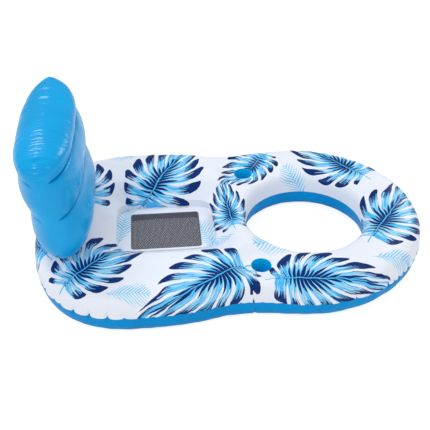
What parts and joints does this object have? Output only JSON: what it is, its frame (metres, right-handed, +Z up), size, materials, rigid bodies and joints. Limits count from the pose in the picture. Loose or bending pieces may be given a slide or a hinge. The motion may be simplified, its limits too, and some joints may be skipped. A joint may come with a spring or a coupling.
{
  "type": "inflatable pool chair",
  "caption": "Floating lounge chair of welded film with an air backrest, a mesh seat, a round leg opening in front and cup wells in both arms.",
  "frame": {"origin": "centre of the bounding box at its bottom, on the surface that the base lies on", "axes": "+X from the backrest to the leg opening, +Y to the sitter's left, +Z up"},
  "size_m": [1.6976, 1.0496, 0.7323],
  "materials": {
    "white_film": "semi-gloss",
    "blue_film": "semi-gloss",
    "deep_blue_film": "semi-gloss",
    "grey_mesh": "matte",
    "clear_film": "gloss"
  },
  "bodies": {
    "base": {"base_top_sheet": "white_film", "base_bottom_sheet": "deep_blue_film", "seat_floor_sheet": "white_film", "seat_mesh": "grey_mesh", "mesh_weld_frame": "clear_film", "cup_well_left": "deep_blue_film", "cup_well_right": "deep_blue_film", "chamber_wall_left": "clear_film", "chamber_wall_right": "clear_film", "backrest_hinge_strip": "blue_film", "rear_valve_flange": "white_film", "front_valve_flange": "deep_blue_film"},
    "backrest": {"backrest_front_sheet": "blue_film", "backrest_rear_sheet": "blue_film", "backrest_beam_lower": "clear_film", "backrest_beam_upper": "clear_film", "backrest_valve_flange": "blue_film"},
    "rear_stem": {"rear_valve_stem": "white_film", "rear_valve_flap": "clear_film"},
    "rear_plug": {"rear_valve_plug": "white_film"},
    "front_stem": {"front_valve_stem": "deep_blue_film", "front_valve_flap": "clear_film"},
    "front_plug": {"front_valve_plug": "deep_blue_film"},
    "backrest_stem": {"backrest_valve_stem": "blue_film", "backrest_valve_flap": "clear_film"},
    "backrest_plug": {"backrest_valve_plug": "blue_film"}
  },
  "joints": [
    {"name": "backrest_tilt", "type": "hinge", "parent": "base", "child": "backrest", "pos_m": [-0.6855, 0, 0.21149], "axis": [0, 1, 0], "range_deg": [-14, 20], "stiffness_Nm_per_rad": 40},
    {"name": "rear_stem_slide", "type": "slide", "parent": "base", "child": "rear_stem", "axis": [-0.2483, 0, 0.9687], "range_m": [0, 0.012]},
    {"name": "rear_plug_turn", "type": "hinge", "parent": "rear_stem", "child": "rear_plug", "pos_m": [-0.77699, 0.013, 0.19996], "axis": [-0.9687, 0, -0.2483], "range_deg": [0, 150]},
    {"name": "front_stem_slide", "type": "slide", "parent": "base", "child": "front_stem", "axis": [-0.0415, 0.9729, -0.2274], "range_m": [0, 0.012]},
    {"name": "front_plug_turn", "type": "hinge", "parent": "front_stem", "child": "front_plug", "pos_m": [0.35448, -0.25472, 0.07372], "axis": [0, -0.2276, -0.9737], "range_deg": [0, 150]},
    {"name": "backrest_stem_slide", "type": "slide", "parent": "backrest", "child": "backrest_stem", "axis": [-0.9945, 0.0065, -0.1044], "range_m": [0, 0.012]},
    {"name": "backrest_plug_turn", "type": "hinge", "parent": "backrest_stem", "child": "backrest_plug", "pos_m": [-0.82599, 0.00003, 0.33024], "axis": [0.0064, 1, 0.0007], "range_deg": [0, 150]}
  ]
}
